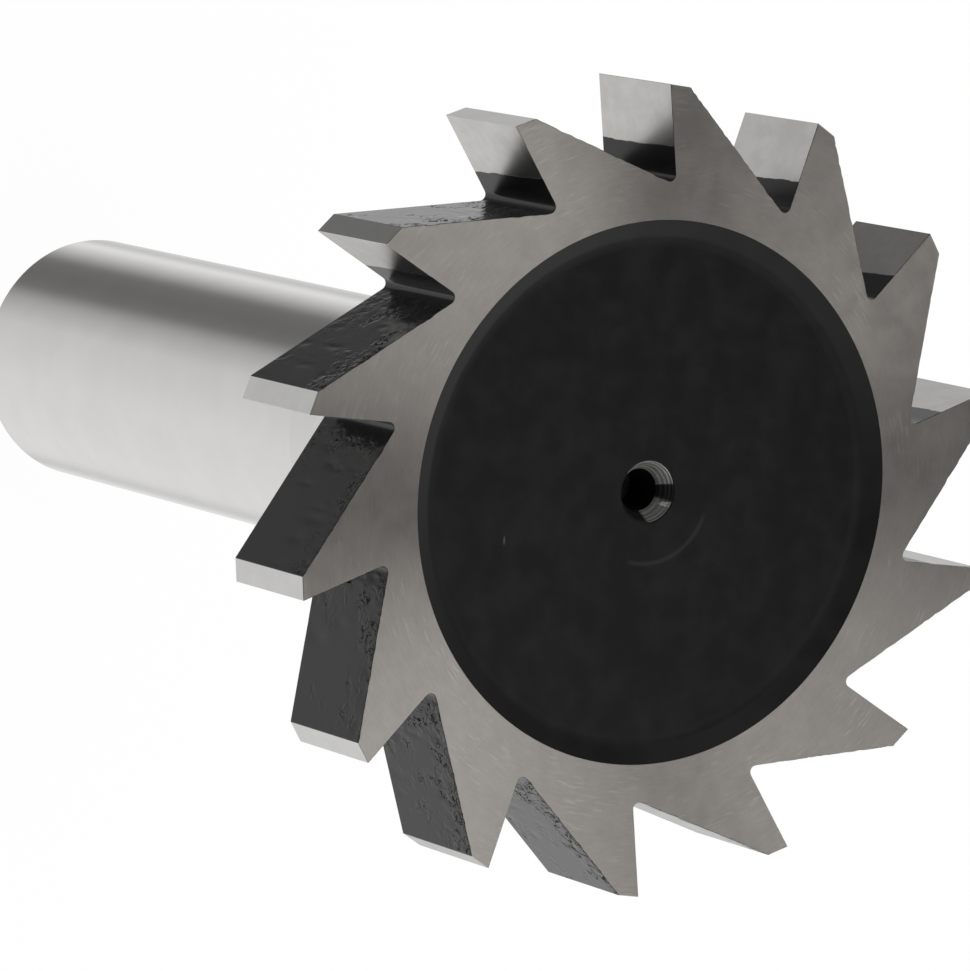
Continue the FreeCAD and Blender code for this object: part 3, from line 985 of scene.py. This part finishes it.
def white_floor():
    """Diffuse floor that the camera sees mostly as plain white, with the shadow on it."""
    material, tree = new_finish("white_floor")
    seen = add_node(tree, "ShaderNodeLightPath").outputs["Is Camera Ray"]
    share = combine(tree, "MULTIPLY", seen, FLOOR_GLOW)
    paper = add_node(tree, "ShaderNodeBsdfDiffuse", {"Color": FLOOR_WHITE})
    glow = add_node(tree, "ShaderNodeEmission", {"Color": WHITE, "Strength": 1.0})
    mix = add_node(tree, "ShaderNodeMixShader", {0: share, 1: paper.outputs[0], 2: glow.outputs[0]})
    add_node(tree, "ShaderNodeOutputMaterial", {"Surface": mix.outputs[0]})
    return material


def add_floor():
    """A level square floor under the shank's end. The steel mirrors the world below instead."""
    half = FLOOR_SIZE / 2 * MM
    corners = [(-half, -half, 0), (half, -half, 0), (half, half, 0), (-half, half, 0)]
    mesh = bpy.data.meshes.new("floor")
    mesh.from_pydata(corners, [], [(0, 1, 2, 3)])
    mesh.materials.append(white_floor())
    floor = bpy.data.objects.new("floor", mesh)
    floor.visible_glossy = False
    bpy.context.scene.collection.objects.link(floor)


def add_world():
    """Studio round the cutter: white paper below with a dark flag on one side, and grey overhead.

    The paper's tone follows the azimuth through a ramp. The camera sees plain white.
    """
    world = bpy.data.worlds.new("studio")
    world.use_nodes = True
    tree = world.node_tree
    tree.nodes.clear()
    direction = add_node(tree, "ShaderNodeTexCoord").outputs["Generated"]
    way = add_node(tree, "ShaderNodeSeparateXYZ", {"Vector": direction}).outputs
    turn = combine(tree, "DIVIDE", combine(tree, "ARCTAN2", way["Y"], way["X"]), 2 * math.pi)
    ramp = add_node(tree, "ShaderNodeValToRGB", {"Fac": combine(tree, "FRACT", turn)})
    stops = ramp.color_ramp.elements
    for azimuth, _ in PAPER_TONES[1:-1]:
        stops.new(azimuth / 360)
    for stop, (_, tone) in zip(stops, PAPER_TONES):
        stop.color = (tone, tone, tone, 1)
    strength = remap(tree, way["Z"], 0, OVERHEAD_FROM, ramp.outputs["Color"], OVERHEAD_GREY)
    seen = add_node(tree, "ShaderNodeLightPath").outputs["Is Camera Ray"]
    strength = combine(tree, "MAXIMUM", strength, seen)
    sky = add_node(tree, "ShaderNodeBackground", {"Color": WHITE, "Strength": strength})
    add_node(tree, "ShaderNodeOutputWorld", {"Surface": sky.outputs[0]})
    bpy.context.scene.world = world


def add_lamp(name, azimuth, elevation, distance, size, radiance):
    """A flat soft lamp that faces the head from the given direction in degrees, as bright as radiance."""
    width, height = size
    light = bpy.data.lights.new(name, "AREA")
    light.shape = "RECTANGLE"
    light.size = width * MM
    light.size_y = height * MM
    light.energy = radiance * math.pi * width * height * MM * MM
    lamp = bpy.data.objects.new(name, light)
    turn, rise = math.radians(azimuth), math.radians(elevation)
    way = Vector((math.cos(turn) * math.cos(rise), math.sin(turn) * math.cos(rise), math.sin(rise)))
    lamp.location = Vector((0, 0, FRONT * MM)) + way * distance * MM
    lamp.rotation_mode = "QUATERNION"
    lamp.rotation_quaternion = (-way).to_track_quat("-Z", "Y")
    lamp.visible_camera = False
    bpy.context.scene.collection.objects.link(lamp)
    return lamp


def add_lamps():
    """Three soft lamps that the steel mirrors, and a large one overhead that it doesn't."""
    add_lamp("key_lamp", azimuth=0, elevation=48, distance=100, size=(120, 98), radiance=1.26)
    add_lamp("side_lamp", azimuth=151, elevation=66, distance=590, size=(170, 500), radiance=3.0)
    add_lamp("low_lamp", azimuth=56, elevation=10, distance=400, size=(430, 255), radiance=1.1)
    top_lamp = add_lamp("top_lamp", azimuth=90, elevation=75, distance=850, size=(1000, 1000), radiance=2.0)
    top_lamp.visible_glossy = False


def add_camera():
    """The photograph's view: from above the head, with the shank running out to the left."""
    camera_data = bpy.data.cameras.new("camera")
    camera_data.sensor_fit = "HORIZONTAL"
    camera_data.sensor_width = CAMERA_SENSOR
    camera_data.lens = CAMERA_LENS
    camera_data.clip_start = 0.01
    camera_data.clip_end = 10.0
    camera = bpy.data.objects.new("camera", camera_data)
    forward = Vector(CAMERA_FORWARD).normalized()
    right = forward.cross(Vector(CAMERA_UP)).normalized()
    up = right.cross(forward)
    turn = Matrix((right, up, -forward)).transposed()
    camera.matrix_world = Matrix.Translation(Vector(CAMERA_PLACE) * MM) @ turn.to_4x4()
    bpy.context.scene.collection.objects.link(camera)
    bpy.context.scene.camera = camera


def main():
    """Builds the stage and the cutter."""
    bpy.context.scene.view_settings.view_transform = "Standard"
    add_camera()
    add_world()
    add_floor()
    add_lamps()
    cutter = make_cutter()
    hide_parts(NODE)
    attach(cutter, "root")


main()
